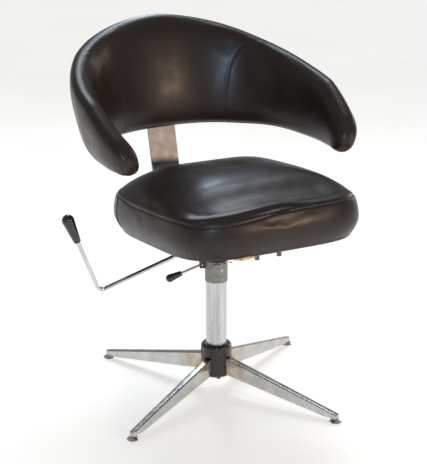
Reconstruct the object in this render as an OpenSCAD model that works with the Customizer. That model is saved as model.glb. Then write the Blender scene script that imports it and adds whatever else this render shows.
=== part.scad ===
// Hydraulic barber chair on a four-leg base, +Z up.
// The origin is the floor point on the column's axis. The chair faces -Y.

/* [Base] */
// Distance from the column's axis to each foot's centre
foot_r = 333; // [260:1:420]
// Angle of the first leg, from +X towards +Y
leg_turn = 27.8; // [0:0.1:89]
// Width of a leg at the hub
leg_root_w = 20; // [16:0.5:24]
// Width of a leg at its foot
leg_tip_w = 15; // [12:0.5:18]
// Wall of the pressed leg
leg_wall = 2.5; // [1.5:0.1:3.5]
// Height of a leg's top edge where it enters the hub
leg_top_z = 91; // [80:1:100]
// Height of a leg's underside at the hub
leg_under_z = 46; // [40:1:54]
// Depth of a leg over its foot
leg_tip_h = 12; // [9:0.5:18]
// Radius of a foot
foot_rad = 14.5; // [12:0.5:20]
// Height of a foot
foot_h = 9; // [7:0.5:14]
// Wall of the hub round the column
hub_wall = 12; // [11:0.5:18]
// Height of the hub's top
hub_top_z = 122; // [112:1:150]

/* [Column] */
// Radius of the column tube
column_r = 25; // [24:0.5:30]
// Wall of the column tube
column_wall = 3; // [2.5:0.1:4]
// Height of the column tube's top
column_top_z = 300; // [280:1:340]
// Travel of the lift
lift_stroke = 140; // [90:1:142]
// Radius of the ram
ram_r = 17.5; // [16.5:0.1:18.5]
// Wall of the ram
ram_wall = 4.5; // [3.5:0.1:4.8]
// Radial running clearance of turning and sliding parts
run_fit = 0.05; // [0.02:0.01:0.09]

/* [Pump] */
// Bore radius of the pump barrel
pump_r = 8; // [6.5:0.1:8]
// Wall of the pump barrel
pump_wall = 1.5; // [1:0.1:1.5]
// Radius of the push rod
push_rod_r = 4; // [3:0.1:5]
// Radius of the release rod
release_rod_r = 2; // [1.5:0.1:2.1]

/* [Head and levers] */
// Height of the skirt's lower rim
skirt_z = 281; // [270:1:295]
// Distance of the pump lever's pivot from the axis
pivot_x = 45; // [40:1:50]
// Height of the pump lever's pivot
pivot_z = 388; // [384:1:391]
// Radius of the pump lever's chromed rod
lever_rod_r = 4.8; // [4:0.1:5.5]
// Distance of the pump lever's bend from the axis
lever_bend_x = 301; // [240:1:340]
// Height of the pump lever's bend
lever_bend_z = 305; // [285:1:330]
// Distance of the pump lever's ball from the axis
lever_ball_x = 371; // [345:1:400]
// Height of the pump lever's ball
lever_ball_z = 483; // [440:1:500]
// Radius of the pump lever's ball
lever_ball_r = 14.2; // [11:0.1:17]
// Distance of the release knob's end from the column's axis
release_end_x = 120; // [110:1:150]
// How far the release lever is turned behind the pump lever
release_turn = 20; // [20:0.5:26]

/* [Seat] */
// Width of the seat cushion
seat_w = 466; // [400:1:520]
// Depth of the seat cushion
seat_d = 488; // [420:1:540]
// How far the seat's centre lies in front of the column
seat_forward = 82; // [60:1:110]
// Backward tilt of the seat
seat_tilt = 5.1; // [0:0.1:8]
// Height of the cushion's underside on the column's axis
seat_z = 421; // [419:1:440]
// Height of the seat's side band
band_h = 88; // [60:1:110]
// Rise of the crown above the side band
crown_h = 78; // [40:1:95]
// Thickness of the seat board
board_t = 12; // [9:0.5:18]
// Thickness of the upholstery skin
skin_t = 1.6; // [1.2:0.1:2.4]

/* [Back] */
// Half the width of the back, at the middle of its padding
back_half_w = 293; // [265:1:310]
// Distance of the back's middle behind the column
back_reach = 291; // [286:1:300]
// How far the arms run forward of the column's axis
arm_reach = 110; // [70:1:150]
// How far the arm tips turn inwards
arm_tuck = 24; // [0:1:40]
// Height of the top edge at the middle
back_top_z = 872; // [820:1:920]
// Height of the top edge at the arm tips
arm_top_z = 676; // [660:1:700]
// Height of the lower edge
back_low_z = 600; // [596:1:620]
// Padding thickness at the middle of the back
back_pad_t = 60; // [54:1:62]
// Padding thickness of the arms
arm_pad_t = 50; // [40:1:56]
// Outward lean of the middle of the back, from bottom to top
back_lean = 45; // [30:1:50]
// Outward lean of the arms, from bottom to top
arm_lean = 15; // [0:1:30]
// Thickness of the plywood shell
shell_t = 9; // [6:0.5:12]
// Width of the steel back bar
bar_w = 74; // [60:1:90]
// Thickness of the back bar
bar_t = 5; // [4:0.5:6]
// Backward lean of the bar's upper part
bar_lean = 14; // [12:0.5:16]

/* [Hidden] */
$fn = 64;
eps = 0.01;
// How far the straight and bent stretches of one piece run into each other
join = 0.1;

// ---- base sizes ----
// The hub and the legs' roots keep clear of the column tube
leg_root_gap = 3;
leg_root_r = column_r + leg_root_gap;
hub_r = column_r + hub_wall;
leg_count = 4;
hub_floor_z = leg_under_z + 10;
hub_shoulder = 9;
plate_t = 4;
plate_r = hub_r - 3;
plate_screw_ring = hub_r - 7.5;
plate_screw_in = 12;
plate_screw_r = 2.5;
set_screw_z = hub_top_z - 20;
set_screw_r = 4;
leg_fit = 0.1;
stud_r = 4;
pad_r = foot_rad - 2.5;
pad_recess = 2;
pad_proud = 2.5;

// ---- column and lift sizes ----
bore_r = column_r - column_wall;
end_plug_h = 10;
piston_z = hub_floor_z + end_plug_h + 4;
piston_h = 22;
groove_h = 4;
groove_depth = 3.4;
seal_gap = 0.1;
spigot_r = 8.9;
race_in_r = 9;
race_out_r = 17;
race_t = 4;
ball_r = 2.5;
ball_ring = (race_in_r + race_out_r) / 2;
ball_count = 12;
ball_gap = 0.05;
lower_race_z = piston_z + piston_h;
ball_z = lower_race_z + race_t + ball_r - 1;
upper_race_z = ball_z + ball_r - 1;
ram_z = upper_race_z + race_t;
ram_collar_h = 10;
ram_floor_h = 7;
ram_bore_r = ram_r - ram_wall;
bush_z = ram_z + ram_collar_h + lift_stroke + 4;
gland_h = 3;
wiper_h = 3;
wiper_t = 2.5;

// ---- head sizes ----
skirt_gap = 0.35;
skirt_wall = 1.75;
boss_r = column_r + skirt_gap;
skirt_r = boss_r + skirt_wall;
boss_z = column_top_z + gland_h + 1.5;
boss_h = 26;
ram_top_z = boss_z + boss_h;
skirt_top_z = ram_top_z + 2;
cross_pin_z = boss_z + 8;
cross_pin_r = 3;
cheek_gap = 16;
cheek_t = 6;
cheek_len = pivot_x + 12;
flange_x = 96;
flange_y = 112;
flange_t = 8;
stack_gap = 1;
bar_top = -stack_gap;
flange_top = bar_top - bar_t;
bolt_x = bar_w / 2 - 11;
bolt_y = flange_y / 2 - 14;
bolt_r = 4;
pin_r = 4;

// ---- pump sizes ----
pump_x = 3;
barrel_h = 50;
barrel_z = ram_z + ram_floor_h;
barrel_r = pump_r + pump_wall;
plunger_z = barrel_z + 24;
plunger_h = barrel_h - 24;
spring_wire = 0.7;
pump_spring_z = barrel_z + barrel_h;
pump_spring_h = 72;
pump_spring_turns = 11;
guide_disc_z = ram_z + 160;
guide_disc_t = 4;
release_spring_wire = 0.35;
release_spring_h = 30;
release_spring_turns = 12;
release_pivot_x = 34;
release_pivot_z = ram_top_z - 9;
release_arm_h = 6;
release_arm_t = 5;
release_gap = 0.3;
release_slot = 7;
release_drop = 22;
release_rod_x = 9.3;
release_bracket_rise = 5.5;
release_lever_r = 3;
release_knob_r = 9.5;

// ---- pump lever sizes ----
arm_h = 12;
arm_t = 12;
arm_end_x = -36;
lever_slope = 0.277;
lever_joint = [-30, lever_bend_z + (lever_bend_x - 30) * lever_slope];
lever_bend = [-lever_bend_x, lever_bend_z];
lever_ball = [-lever_ball_x, lever_ball_z];
lever_bend_r = 16;
// The bent stretch is a little fuller than the rod, whose ends run into it
bend_swell = 0.06;
bend_lap = 0.8;
knob_len = 56;
push_gap = 1;
push_top_z = lever_under(pump_x) - push_gap;

// ---- seat sizes ----
seat_power = 4.4;
crown_power = 4;
crease_share = 0.97;
rim_share = 0.925;
seat_steps = 64;
band_steps = 8;
crown_steps = [0.97, 0.94, 0.9, 0.85, 0.78, 0.68, 0.54, 0.38, 0.2, 0.05];
foam_gap = 1;
board_z = 2;
foam_z = board_z + board_t + 1.5;
board_inset = 7;
lip_share = 0.82;
dust_share = 0.86;
dust_t = 0.8;
t_nut_r = 5.5;
t_nut_flange_r = 9;
t_nut_flange_t = 1.2;
stud_x = 28;
stud_y = -240;
stud_drop = 32;

// ---- back sizes ----
back_power = 2.1;
pad_power = 3;
top_fall_power = 1.45;
arm_share = 0.31;
tip_start = 0.9;
tip_power = 2.5;
back_step = 4;
turn_step = 10;
cover_end = 88;
foam_end = 80;
shell_end = 60;
arm_seam = 20;
seam_low = 260;
seam_high = 110;
shell_edge = 16;
bar_set_in = 48.5;
bar_face_y = back_reach + back_pad_t / 2 - bar_set_in;
bar_face_z = 520;
bar_bend_r = 60;
bar_top_z = 720;
bar_screw_x = bar_w / 2 - 14;
bar_screw_z = [632, 684];
bar_screw_r = 2.8;
bar_screw_in = back_pad_t / 2 - 3;
// The bar's upper front face passes through (bar_face_y, bar_face_z) and leans back by bar_lean.
bar_rise = 90 - bar_lean;
bar_turn = bar_rise + seat_tilt;
bar_floor_y = bar_face_y - bar_face_z * tan(bar_lean);
bar_corner_z = (seat_z + bar_top / cos(seat_tilt) - tan(seat_tilt) * bar_floor_y)
    / (1 + tan(seat_tilt) * tan(bar_lean));
bar_corner_y = bar_face_y + (bar_corner_z - bar_face_z) * tan(bar_lean);
bar_set_back = bar_bend_r * tan(bar_turn / 2);
bar_run = bar_corner_y / cos(seat_tilt) - bar_set_back;
bar_up_len = (bar_top_z - bar_corner_z) / cos(bar_lean);

// ---- shared shapes ----
function signed_power(v, p) = sign(v) * pow(abs(v), p);

module ring(outer, inner, h) {
    difference() {
        cylinder(r = outer, h = h);
        translate([0, 0, -1]) cylinder(r = inner, h = h + 2);
    }
}

module hex_head(across, h) cylinder(r = across / sqrt(3), h = h, $fn = 6);

module on_legs() {
    for (i = [0 : leg_count - 1]) rotate(leg_turn + 360 / leg_count * i) children();
}

module in_seat_frame() translate([0, 0, seat_z]) rotate([-seat_tilt, 0, 0]) children();

// Draws a shape given in (x, height) in the plane of the levers
module side_on() rotate([90, 0, 0]) children();

// The release lever and all that it works are turned towards the back
module release_side() rotate(-release_turn) children();

// A solid through a list of rings that all have the same number of points.
// A closed one runs from the last ring back to the first, and has no ends.
module ring_solid(rings, closed = false) {
    n = len(rings[0]);
    m = len(rings);
    polyhedron(
        points = [for (r = rings) each r],
        faces = [
            if (!closed) [for (i = [0 : n - 1]) i],
            for (j = [0 : m - (closed ? 1 : 2)]) let (a = j * n, b = (j + 1) % m * n)
                for (i = [0 : n - 1]) let (k = (i + 1) % n)
                    each [[a + i, b + i, b + k], [a + i, b + k, a + k]],
            if (!closed) [for (i = [n - 1 : -1 : 0]) (m - 1) * n + i]
        ],
        convexity = 8
    );
}

// A coil spring standing on z = 0, with its axis on Z
module coil(mean_r, wire_r, h, turns) {
    steps = turns * 12;
    pitch_h = h - 2 * wire_r;
    ring_solid([for (k = [0 : steps]) let (a = 360 * turns * k / steps, z = wire_r + pitch_h * k / steps)
        [for (i = [0 : 7]) let (b = -45 * i, r = mean_r + wire_r * cos(b))
            [r * cos(a), r * sin(a), z + wire_r * sin(b)]]]);
}

// A rod in the (x, height) plane from p to q
module flat_rod(p, q, r) {
    d = q - p;
    translate([p[0], p[1], 0]) rotate(atan2(d[1], d[0])) rotate([0, 90, 0]) cylinder(r = r, h = norm(d));
}

// ---- base ----
module base_hub() color([0.08, 0.07, 0.07]) difference() {
    translate([0, 0, leg_under_z]) rotate_extrude() {
        square([hub_r - hub_shoulder, hub_top_z - leg_under_z]);
        square([hub_r, hub_top_z - leg_under_z - hub_shoulder]);
        translate([hub_r - hub_shoulder, hub_top_z - leg_under_z - hub_shoulder]) circle(r = hub_shoulder);
    }
    translate([0, 0, hub_floor_z]) cylinder(r = column_r, h = hub_top_z);
    translate([0, 0, leg_under_z - 1]) cylinder(r = 6, h = 20);
    on_legs() translate([leg_root_r, -leg_root_w / 2 - leg_fit, leg_under_z - 1])
        cube([hub_r, leg_root_w + 2 * leg_fit, leg_top_z - leg_under_z + 1 + leg_fit]);
    rotate(180 / leg_count) on_legs() translate([plate_screw_ring, 0, leg_under_z - 1])
        cylinder(r = plate_screw_r, h = plate_screw_in + 1.5);
    rotate(180 / leg_count) on_legs() translate([0, 0, set_screw_z]) rotate([0, 90, 0])
        cylinder(r = set_screw_r, h = hub_r + 1);
}

// The leg seen from its side; with floor_z given, the hollow inside it
module leg_side(drop, from_r, to_r, floor_z) {
    fall = (leg_top_z - foot_h - leg_tip_h) / (foot_r - leg_root_r);
    polygon([
        if (floor_z == undef) [hub_r, leg_under_z],
        [from_r, floor_z == undef ? leg_under_z : floor_z],
        [from_r, leg_top_z - drop - fall * (from_r - leg_root_r)],
        [to_r, leg_top_z - drop - fall * (to_r - leg_root_r)],
        [to_r, floor_z == undef ? foot_h : floor_z],
        if (floor_z == undef) [foot_r - 2 * foot_rad, foot_h]
    ]);
}

module leg_plan(inset) {
    polygon([
        [leg_root_r, -leg_root_w / 2 + inset], [foot_r, -leg_tip_w / 2 + inset],
        [foot_r, leg_tip_w / 2 - inset], [leg_root_r, leg_root_w / 2 - inset]
    ]);
    translate([foot_r, 0]) circle(r = leg_tip_w / 2 - inset);
}

module leg(i) color([0.72, 0.71, 0.69]) rotate(leg_turn + 360 / leg_count * (i - 1)) difference() {
    intersection() {
        translate([0, leg_root_w, 0]) rotate([90, 0, 0]) linear_extrude(2 * leg_root_w)
            leg_side(0, leg_root_r, foot_r + leg_tip_w);
        linear_extrude(leg_top_z + 1) leg_plan(0);
    }
    intersection() {
        translate([0, leg_root_w, 0]) rotate([90, 0, 0]) linear_extrude(2 * leg_root_w)
            leg_side(leg_wall, hub_r + 8, foot_r - leg_tip_w, 0);
        linear_extrude(leg_top_z + 1) leg_plan(leg_wall);
    }
    translate([foot_r, 0, 0]) cylinder(r = stud_r, h = foot_h + leg_tip_h - leg_wall);
}

module glide(i) color([0.82, 0.82, 0.83]) rotate(leg_turn + 360 / leg_count * (i - 1))
    translate([foot_r, 0, 0]) {
        dome_h = foot_h - pad_proud;
        dome_r = (foot_rad * foot_rad + dome_h * dome_h) / (2 * dome_h);
        difference() {
            rotate_extrude() intersection() {
                translate([0, foot_h - dome_r]) circle(r = dome_r);
                translate([0, pad_proud]) square([foot_rad, dome_h]);
            }
            cylinder(r = pad_r + leg_fit, h = pad_proud + pad_recess);
        }
        translate([0, 0, foot_h - 1]) cylinder(r = stud_r, h = leg_tip_h - leg_wall + 1 - leg_fit);
    }

module glide_pads() color([0.1, 0.1, 0.1]) on_legs() translate([foot_r, 0, 0])
    cylinder(r = pad_r, h = pad_proud + pad_recess);

module leg_clamp_plate() color([0.25, 0.24, 0.23]) translate([0, 0, leg_under_z - plate_t]) difference() {
    cylinder(r = plate_r, h = plate_t);
    rotate(180 / leg_count) on_legs() translate([plate_screw_ring, 0, -1])
        cylinder(r = plate_screw_r, h = plate_t + 2);
}

module clamp_plate_screws() color([0.3, 0.3, 0.3]) rotate(180 / leg_count) on_legs()
    translate([plate_screw_ring, 0, leg_under_z - plate_t]) {
        cylinder(r = plate_screw_r, h = plate_t + plate_screw_in);
        translate([0, 0, -3.5]) hex_head(9, 3.5);
    }

module hub_set_screws() color([0.12, 0.12, 0.12]) rotate(180 / leg_count) on_legs()
    translate([column_r, 0, set_screw_z]) rotate([0, 90, 0]) difference() {
        cylinder(r = set_screw_r, h = hub_r - column_r - 1);
        translate([0, 0, hub_r - column_r - 4]) cylinder(r = 2.2, h = 4, $fn = 6);
    }

// ---- column ----
module column_tube() color([0.72, 0.72, 0.71]) translate([0, 0, hub_floor_z])
    ring(column_r, bore_r, column_top_z - hub_floor_z);

module column_end_plug() color([0.5, 0.5, 0.5]) translate([0, 0, hub_floor_z])
    cylinder(r = bore_r, h = end_plug_h);

module guide_bush() color([0.66, 0.52, 0.3]) translate([0, 0, bush_z])
    ring(bore_r, ram_r + run_fit, column_top_z - bush_z);

module gland_ring() color([0.6, 0.6, 0.6]) translate([0, 0, column_top_z]) difference() {
    ring(column_r, ram_r + 4 * run_fit, gland_h);
    translate([0, 0, -eps]) cylinder(r = ram_r + wiper_t, h = wiper_h - 1);
}

module wiper_seal() color([0.08, 0.08, 0.08]) translate([0, 0, column_top_z])
    ring(ram_r + wiper_t, ram_r + run_fit, wiper_h - 1 - eps);

// ---- lift: everything that rises without turning ----
module piston() color([0.62, 0.6, 0.56]) translate([0, 0, piston_z]) difference() {
    union() {
        cylinder(r = bore_r - run_fit, h = piston_h);
        cylinder(r = spigot_r, h = piston_h + 2 * race_t);
    }
    for (z = [groove_h, piston_h - 2 * groove_h]) translate([0, 0, z])
        ring(bore_r + 1, bore_r - groove_depth, groove_h);
    translate([0, 0, -1]) cylinder(r = 2.5, h = piston_h + 3 * race_t);
}

module piston_seals() color([0.07, 0.07, 0.07]) translate([0, 0, piston_z])
    for (z = [groove_h, piston_h - 2 * groove_h]) translate([0, 0, z + seal_gap / 2])
        ring(bore_r - run_fit / 2, bore_r - groove_depth + seal_gap / 2, groove_h - seal_gap);

module race(groove_z) difference() {
    ring(race_out_r, race_in_r, race_t);
    translate([0, 0, groove_z]) rotate_extrude() translate([ball_ring, 0])
        circle(r = ball_r + ball_gap, $fn = 48);
}

module thrust_lower_race() color([0.75, 0.75, 0.76]) translate([0, 0, lower_race_z])
    race(ball_z - lower_race_z);

module thrust_balls() color([0.8, 0.8, 0.82]) for (i = [0 : ball_count - 1])
    rotate(360 / ball_count * i) translate([ball_ring, 0, ball_z]) sphere(r = ball_r, $fn = 32);

// ---- swivel: everything that rises and turns ----
module thrust_upper_race() color([0.75, 0.75, 0.76]) translate([0, 0, upper_race_z])
    race(ball_z - upper_race_z);

module ram_tube() color([0.84, 0.84, 0.85]) difference() {
    translate([0, 0, ram_z]) {
        cylinder(r = ram_r, h = ram_top_z - ram_z);
        cylinder(r = bore_r - run_fit, h = ram_collar_h);
    }
    translate([0, 0, barrel_z]) cylinder(r = ram_bore_r, h = ram_top_z);
    translate([pump_x, 0, ram_z - 1]) cylinder(r = 2, h = ram_floor_h + 2);
    release_side() translate([-release_rod_x, 0, ram_z + 1])
        cylinder(r = release_rod_r + run_fit, h = ram_floor_h);
    translate([0, 0, cross_pin_z]) rotate([90, 0, 0]) translate([0, 0, ram_bore_r - 2])
        cylinder(r = cross_pin_r, h = ram_r);
    release_side() translate([-ram_r - 1, -release_slot / 2, release_pivot_z - 11])
        cube([ram_r - ram_bore_r + 6, release_slot, 20]);
}

module rod_guide_disc() color([0.66, 0.52, 0.3]) translate([0, 0, guide_disc_z]) difference() {
    cylinder(r = ram_bore_r, h = guide_disc_t);
    translate([pump_x, 0, -1]) cylinder(r = push_rod_r + run_fit, h = guide_disc_t + 2);
    release_side() translate([-release_rod_x, 0, -1])
        cylinder(r = release_rod_r + run_fit, h = guide_disc_t + 2);
}

module pump_barrel() color([0.68, 0.68, 0.7]) translate([pump_x, 0, barrel_z])
    ring(barrel_r, pump_r, barrel_h);

module pump_return_spring() color([0.5, 0.5, 0.52]) translate([pump_x, 0, pump_spring_z])
    coil(pump_r + spring_wire + 0.1, spring_wire, pump_spring_h - 0.1, pump_spring_turns);

module release_spring() color([0.5, 0.5, 0.52]) release_side()
    translate([-release_rod_x, 0, guide_disc_z + guide_disc_t])
    coil(release_rod_r + 2 * release_spring_wire + 0.2, release_spring_wire, release_spring_h - 0.1,
        release_spring_turns);

module head_casting() color([0.14, 0.13, 0.12]) difference() {
    union() {
        translate([0, 0, boss_z]) cylinder(r = boss_r, h = skirt_top_z - boss_z);
        intersection() {
            side_on() translate([0, 0, -cheek_gap / 2 - cheek_t])
                linear_extrude(cheek_gap + 2 * cheek_t) polygon([
                [-skirt_r, skirt_top_z], [skirt_r, skirt_top_z], [cheek_len, pivot_z - 12],
                [cheek_len, seat_z], [-skirt_r - 14, seat_z], [-skirt_r - 14, seat_z - 24]
            ]);
            in_seat_frame() translate([-flange_x, -flange_y / 2, flange_top - 200])
                cube([2 * flange_x, flange_y, 200]);
        }
        in_seat_frame() translate([-flange_x / 2, -flange_y / 2, flange_top - flange_t]) difference() {
            cube([flange_x, flange_y, flange_t]);
            for (sx = [-1, 1], sy = [-1, 1])
                translate([flange_x / 2 + sx * bolt_x, flange_y / 2 + sy * bolt_y, -1])
                    cylinder(r = bolt_r, h = flange_t + 2);
        }
    }
    translate([0, 0, boss_z - 1]) cylinder(r = ram_r, h = boss_h + 1);
    translate([0, 0, boss_z]) cylinder(r = ram_bore_r, h = 2 * boss_h);
    translate([-2 * cheek_len, -cheek_gap / 2, skirt_top_z])
        cube([4 * cheek_len, cheek_gap, seat_z - flange_t - bar_t - skirt_top_z - 5]);
    translate([pivot_x, 40, pivot_z]) rotate([90, 0, 0]) cylinder(r = pin_r, h = 80);
    translate([0, 0, cross_pin_z]) rotate([90, 0, 0]) translate([0, 0, ram_bore_r])
        cylinder(r = cross_pin_r, h = 40);
    release_side() translate([-boss_r - 1, -release_slot / 2, release_pivot_z - 11])
        cube([boss_r, release_slot, 20]);
}

module head_skirt() color([0.55, 0.56, 0.52]) difference() {
    translate([0, 0, skirt_z]) ring(skirt_r, boss_r, skirt_top_z - skirt_z);
    release_side() translate([-skirt_r - 1, -release_slot / 2, release_pivot_z - 11])
        cube([skirt_r, release_slot, 20]);
    translate([0, 0, cross_pin_z]) rotate([90, 0, 0]) cylinder(r = cross_pin_r, h = 40);
}

module ram_cross_pin() color([0.4, 0.4, 0.4]) translate([0, 0, cross_pin_z]) rotate([90, 0, 0])
    translate([0, 0, ram_bore_r + 0.5]) cylinder(r = cross_pin_r, h = skirt_r - ram_bore_r);

module lever_pivot_pin() color([0.7, 0.7, 0.7]) translate([pivot_x, 0, pivot_z]) rotate([90, 0, 0]) {
    pin_half = cheek_gap / 2 + cheek_t + 2;
    translate([0, 0, -pin_half]) cylinder(r = pin_r, h = 2 * pin_half);
    translate([0, 0, cheek_gap / 2 + cheek_t]) cylinder(r = pin_r + 2, h = 2.5);
}

// ---- pump lever ----
module lever_arm() color([0.2, 0.2, 0.2]) difference() {
    side_on() translate([0, 0, -arm_t / 2]) linear_extrude(arm_t) {
        translate([pivot_x, pivot_z]) circle(r = 9);
        polygon([
            [pivot_x, pivot_z - arm_h / 2], [pivot_x, pivot_z + arm_h / 2],
            [arm_end_x, lever_joint[1] + arm_h / 2 + 2], [arm_end_x - 6, lever_joint[1] - arm_h / 2 - 3],
            [lever_joint[0] + 10, lever_joint[1] - arm_h / 2]
        ]);
    }
    translate([pivot_x, 40, pivot_z]) rotate([90, 0, 0]) cylinder(r = pin_r + run_fit, h = 80);
    side_on() flat_rod(lever_joint, lever_bend, lever_rod_r);
}

module lever_rod() color([0.8, 0.8, 0.8]) side_on() {
    d1 = lever_bend - lever_joint;
    d2 = lever_ball - lever_bend;
    a1 = atan2(d1[1], d1[0]) + 360;
    a2 = atan2(d2[1], d2[0]);
    turn = a1 - a2;
    set_back = lever_bend_r * tan(turn / 2);
    t1 = lever_bend - d1 / norm(d1) * set_back;
    t2 = lever_bend + d2 / norm(d2) * set_back;
    centre = t1 + lever_bend_r * [cos(a1 - 90), sin(a1 - 90)];
    flat_rod(lever_joint, t1 + d1 / norm(d1) * bend_lap, lever_rod_r);
    flat_rod(t2 - d2 / norm(d2) * bend_lap, lever_ball - d2 / norm(d2) * (knob_len - 12), lever_rod_r);
    translate([centre[0], centre[1], 0]) rotate(a2 + 90) rotate_extrude(angle = turn)
        translate([lever_bend_r, 0]) circle(r = lever_rod_r + bend_swell);
}

module lever_knob() color([0.05, 0.05, 0.05]) side_on() {
    d2 = lever_ball - lever_bend;
    translate([lever_ball[0], lever_ball[1], 0]) rotate(atan2(d2[1], d2[0]) - 90) rotate([-90, 0, 0])
        difference() {
            rotate_extrude() {
                intersection() {
                    circle(r = lever_ball_r);
                    translate([0, -lever_ball_r]) square(2 * lever_ball_r);
                }
                polygon([
                    [0, -knob_len], [lever_ball_r * 0.58, -knob_len], [lever_ball_r * 0.96, -4], [0, -4]
                ]);
            }
            translate([0, 0, -knob_len - 1]) cylinder(r = lever_rod_r, h = 13);
        }
}

// ---- pump rod ----
function lever_under(x) = pivot_z - arm_h / 2
    + (lever_joint[1] - pivot_z) * (pivot_x - x) / (pivot_x - lever_joint[0] - 10);

module pump_push_rod() color([0.76, 0.76, 0.78]) translate([pump_x, 0, 0]) difference() {
    union() {
        translate([0, 0, plunger_z]) cylinder(r = pump_r - run_fit, h = plunger_h);
        translate([0, 0, plunger_z]) cylinder(r = push_rod_r, h = push_top_z - plunger_z);
        translate([0, 0, pump_spring_z + pump_spring_h]) cylinder(r = barrel_r, h = 3);
    }
    translate([0, 0, plunger_z + 3]) ring(pump_r + 1, pump_r - 2, 3);
}

module plunger_seal() color([0.07, 0.07, 0.07]) translate([pump_x, 0, plunger_z + 3.05])
    ring(pump_r - run_fit / 2, pump_r - 1.95, 2.9);

// ---- release ----
module release_rod() color([0.76, 0.76, 0.78]) release_side() translate([-release_rod_x, 0, 0]) {
    rod_z = ram_z + ram_floor_h;
    rod_len = release_pivot_z - release_arm_h / 2 - release_gap - rod_z;
    translate([0, 0, rod_z]) cylinder(r = release_rod_r, h = rod_len);
    translate([0, 0, guide_disc_z + guide_disc_t + release_spring_h]) cylinder(r = 3.2, h = 2);
}

module release_bracket() color([0.1, 0.1, 0.1]) release_side() difference() {
    translate([-release_pivot_x - 6, -release_slot / 2 - 3, release_pivot_z - 8])
        cube([release_pivot_x + 6 - 20, release_slot + 6, 8 + release_bracket_rise]);
    translate([0, 0, release_pivot_z - 20]) cylinder(r = skirt_r, h = 40);
    translate([-release_pivot_x - 20, -release_slot / 2, release_pivot_z - 6]) cube([60, release_slot, 40]);
    translate([-release_pivot_x, 20, release_pivot_z]) rotate([90, 0, 0]) cylinder(r = 2, h = 40);
}

module release_pivot_pin() color([0.6, 0.6, 0.6]) release_side()
    translate([-release_pivot_x, 0, release_pivot_z]) rotate([90, 0, 0])
        translate([0, 0, -release_slot / 2 - 4]) cylinder(r = 2, h = release_slot + 8);

function release_point(x) = [-x, release_pivot_z - (x - release_pivot_x) * tan(release_drop)];

module release_lever() color([0.75, 0.75, 0.75]) release_side() difference() {
    union() {
        translate([-release_pivot_x, -release_arm_t / 2, release_pivot_z - release_arm_h / 2])
            cube([release_pivot_x - release_rod_x + 3, release_arm_t, release_arm_h]);
        side_on() {
            translate([-release_pivot_x, release_pivot_z, -release_arm_t / 2])
                cylinder(r = 5, h = release_arm_t);
            flat_rod(release_point(release_pivot_x + 4), release_point(release_end_x - 20), release_lever_r);
        }
    }
    translate([-release_pivot_x, 20, release_pivot_z]) rotate([90, 0, 0]) cylinder(r = 2 + run_fit, h = 40);
}

module release_knob() color([0.05, 0.05, 0.05]) release_side() side_on() {
    tip = release_point(release_end_x);
    translate([tip[0], tip[1], 0]) rotate(release_drop) rotate([0, 90, 0]) difference() {
        rotate_extrude() intersection() {
            union() {
                translate([0, release_knob_r]) circle(r = release_knob_r);
                polygon([
                    [0, release_knob_r], [release_knob_r, release_knob_r],
                    [release_knob_r * 0.62, 40], [0, 40]
                ]);
            }
            square([20, 60]);
        }
        translate([0, 0, 20]) cylinder(r = release_lever_r, h = 30);
    }
}

// ---- seat, drawn in the seat's own tilted frame ----
function seat_ring(share, z, inset = 0) = [for (i = [0 : seat_steps - 1]) let (a = -360 * i / seat_steps) [
    (seat_w / 2 * share - inset) * signed_power(cos(a), 2 / seat_power),
    (seat_d / 2 * share - inset) * signed_power(sin(a), 2 / seat_power) - seat_forward,
    z
]];
// Heights up the side band, which stops just under the top cover
function band_z(i) = (band_h - skin_t - 0.2) * i / band_steps;
function flat(points) = [for (p = points) [p[0], p[1]]];
function crown_z(share) = band_h + crown_h * (1 - pow(share / crease_share, crown_power));
function band_share(z) = let (u = z / band_h)
    u < 0.5 ? rim_share + (1 - rim_share) * sin(180 * u) : 1 - (1 - crease_share) * pow(2 * u - 1, 2);

module seat_board() color([0.6, 0.45, 0.3]) in_seat_frame() difference() {
    translate([0, 0, board_z]) linear_extrude(board_t) polygon(flat(seat_ring(rim_share, 0, board_inset)));
    for (sx = [-1, 1], sy = [-1, 1]) translate([sx * bolt_x, sy * bolt_y, 0]) cylinder(r = t_nut_r, h = 40);
    for (sx = [-1, 1]) translate([sx * stud_x, stud_y, 0]) cylinder(r = bolt_r, h = 40);
}

module seat_t_nuts() color([0.6, 0.6, 0.58]) in_seat_frame() for (sx = [-1, 1], sy = [-1, 1])
    translate([sx * bolt_x, sy * bolt_y, board_z]) difference() {
        union() {
            cylinder(r = t_nut_r, h = board_t);
            translate([0, 0, board_t]) cylinder(r = t_nut_flange_r, h = t_nut_flange_t);
        }
        translate([0, 0, -1]) cylinder(r = bolt_r, h = board_t + 4);
    }

module seat_bolts() color([0.15, 0.15, 0.15]) in_seat_frame() for (sx = [-1, 1], sy = [-1, 1])
    translate([sx * bolt_x, sy * bolt_y, flange_top - flange_t]) {
        cylinder(r = bolt_r, h = board_z + board_t - flange_top + flange_t);
        translate([0, 0, -5.3]) hex_head(13, 5.3);
    }

module front_studs() color([0.06, 0.06, 0.06]) in_seat_frame() for (sx = [-1, 1])
    translate([sx * stud_x, stud_y, 0]) {
        translate([0, 0, -stud_drop]) cylinder(r = bolt_r, h = stud_drop + board_z + board_t);
        translate([0, 0, -stud_drop]) cylinder(r = 5.5, h = 12);
        translate([0, 0, -dust_t - 6.5]) hex_head(13, 6.5);
    }

module seat_foam() color([0.85, 0.72, 0.5]) in_seat_frame() ring_solid([
    for (z = [foam_z, for (i = [2 : band_steps - 1]) band_z(i)])
        seat_ring(band_share(z), z, skin_t + foam_gap),
    for (s = crown_steps) seat_ring(s, crown_z(s) - skin_t - foam_gap, skin_t + foam_gap)
]);

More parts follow.
